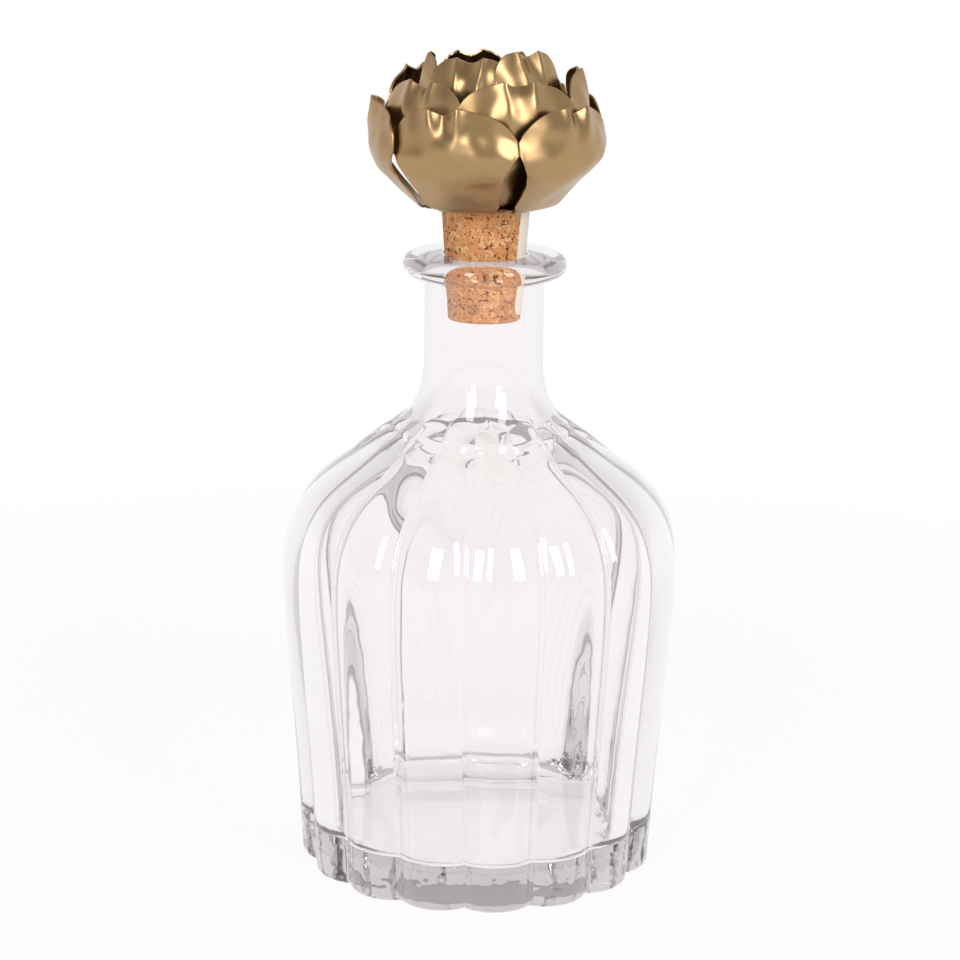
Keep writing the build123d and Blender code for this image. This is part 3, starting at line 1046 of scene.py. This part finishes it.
class DECANTER_OT_fixing(Operator):
    """Dress the screw and the washer that hold the flower"""

    bl_idname = "decanter.make_fixing"
    bl_label = "Screw and Washer"

    def execute(self, context):
        steel = steel_material(tuple(context.scene.decanter_flower.steel))
        for node in ("clamp_washer", "fixing_screw"):
            dress(node, steel)
        return {"FINISHED"}


def soft_box(name, place, width, height, power):
    """A large rectangular lamp that faces the decanter."""
    lamp = bpy.data.lights.new(name, "AREA")
    lamp.shape = "RECTANGLE"
    lamp.size = width
    lamp.size_y = height
    lamp.energy = power
    holder = placed(name, lamp)
    holder.location = place
    holder.rotation_euler = (Vector(lamp_target) - Vector(place)).to_track_quat("-Z", "Y").to_euler()


class DECANTER_OT_stage(Operator):
    """Make the floor, the light and the camera"""

    bl_idname = "decanter.make_stage"
    bl_label = "Floor, Light and Camera"

    def execute(self, context):
        values = context.scene.decanter_stage
        scene = context.scene
        scene.view_settings.view_transform = "Standard"
        self.make_floor(values)
        self.make_world(scene)
        for name, place in (("left_soft_box", left_lamp_place), ("right_soft_box", right_lamp_place)):
            soft_box(name, place, values.lamp_width, values.lamp_height, values.lamp_power)
        self.make_camera(values, scene)
        return {"FINISHED"}

    def make_floor(self, values):
        """A wide floor that shows white and keeps the object's soft shadow."""
        mesh = bpy.data.meshes.new("floor")
        reach = floor_reach
        corners = ((-reach, -reach, 0), (reach, -reach, 0), (reach, reach, 0), (-reach, reach, 0))
        mesh.from_pydata(corners, [], [(0, 1, 2, 3)])
        floor = placed("floor", mesh)
        floor.location.z = -floor_drop
        shader = Shader("studio floor")
        place = shader.place()
        grain = shader.noise(place, scale=400.0, detail=2.0)
        tone = shader.blend(grain, tuple(values.floor), scaled(values.floor, 0.97))
        matte = shader.add("BsdfDiffuse", {"Color": tone})
        white = shader.add("Emission", {"Color": (1.0, 1.0, 1.0), "Strength": 1.0})
        rays = shader.add("LightPath").outputs
        seen = shader.maths("MAXIMUM", rays["Is Camera Ray"], rays["Is Glossy Ray"])
        seen = shader.maths("MAXIMUM", seen, rays["Is Transmission Ray"])
        away = shader.add("VectorMath", {0: place}, operation="LENGTH").outputs["Value"]
        share = shader.ramp(away, ((values.shadow_reach, 0.9), (values.shadow_reach * 2.5, 1.0)))
        share = shader.maths("MULTIPLY", seen, share)
        mixed = shader.add("MixShader", {0: share, 1: matte.outputs[0], 2: white.outputs[0]})
        mesh.materials.append(shader.finish(mixed.outputs[0]))

    def make_world(self, scene):
        """A room that shows white at eye level and dims overhead, and lights plainly."""
        shader = Shader("studio room", "worlds", "OutputWorld")
        place = shader.add("TexCoord").outputs["Generated"]
        split = shader.add("SeparateXYZ", {"Vector": place})
        height = split.outputs["Z"]
        spread = {"Value": split.outputs["Y"], "From Min": -1.0}
        depth = shader.add("MapRange", spread).outputs["Result"]
        rays = shader.add("LightPath").outputs
        through = shader.ramp(height, ((0.05, 1.0), (0.5, 0.8), (1.0, 0.58)))
        ceiling = shader.ramp(height, ((0.0, 1.0), (0.2, 0.85), (1.0, 0.5)))
        front = shader.ramp(height, ((0.0, 0.8), (0.12, 0.3), (1.0, 0.25)))
        behind = shader.ramp(depth, ((0.25, 0.0), (0.6, 1.0)))
        mirrored = shader.blend(behind, front, ceiling)
        tone = shader.blend(rays["Is Glossy Ray"], (0.5, 0.5, 0.5), mirrored)
        tone = shader.blend(rays["Is Transmission Ray"], tone, through)
        tone = shader.blend(rays["Is Camera Ray"], tone, (1.0, 1.0, 1.0))
        room = shader.add("Background", {"Color": tone, "Strength": 1.0})
        scene.world = shader.finish(room.outputs[0])

    def make_camera(self, values, scene):
        """The camera at the photograph's height, distance and tilt."""
        camera = placed("camera", bpy.data.cameras.new("camera"))
        camera.data.lens = values.lens
        camera.data.sensor_width = 36.0
        camera.data.clip_start = 0.01
        camera.data.clip_end = 50.0
        camera.location = (values.camera_side, -values.camera_distance, values.camera_height)
        look = Euler((pi / 2 - values.camera_pitch, 0, 0)).to_matrix()
        lean = Matrix.Rotation(values.camera_roll, 3, "Z")
        camera.rotation_euler = (look @ lean).to_euler()
        scene.camera = camera


class DECANTER_PT_panel(Panel):
    """The steps that build the decanter"""

    bl_idname = "DECANTER_PT_panel"
    bl_label = "Decanter"
    bl_space_type = "VIEW_3D"
    bl_region_type = "UI"
    bl_category = "Decanter"

    def draw(self, context):
        column = self.layout.column()
        for operator in OPERATORS:
            column.operator(operator.bl_idname)
        for group in GROUPS:
            values = getattr(context.scene, group)
            for name in values.__annotations__:
                column.prop(values, name)


OPERATORS = (
    DECANTER_OT_glass,
    DECANTER_OT_cork,
    DECANTER_OT_flower,
    DECANTER_OT_fixing,
    DECANTER_OT_stage,
)


def register():
    """Register the classes and keep the values on the scene."""
    for group, kind in GROUPS.items():
        bpy.utils.register_class(kind)
        setattr(bpy.types.Scene, group, PointerProperty(type=kind))
    for kind in (*OPERATORS, DECANTER_PT_panel):
        bpy.utils.register_class(kind)


def unregister():
    """Take the classes and the values away again."""
    for kind in (DECANTER_PT_panel, *reversed(OPERATORS)):
        bpy.utils.unregister_class(kind)
    for group, kind in reversed(GROUPS.items()):
        delattr(bpy.types.Scene, group)
        bpy.utils.unregister_class(kind)


def main():
    """Build every piece in turn."""
    register()
    bpy.ops.decanter.make_glass()
    bpy.ops.decanter.make_cork()
    bpy.ops.decanter.make_flower()
    bpy.ops.decanter.make_fixing()
    bpy.ops.decanter.make_stage()


if __name__ == "__main__":
    main()
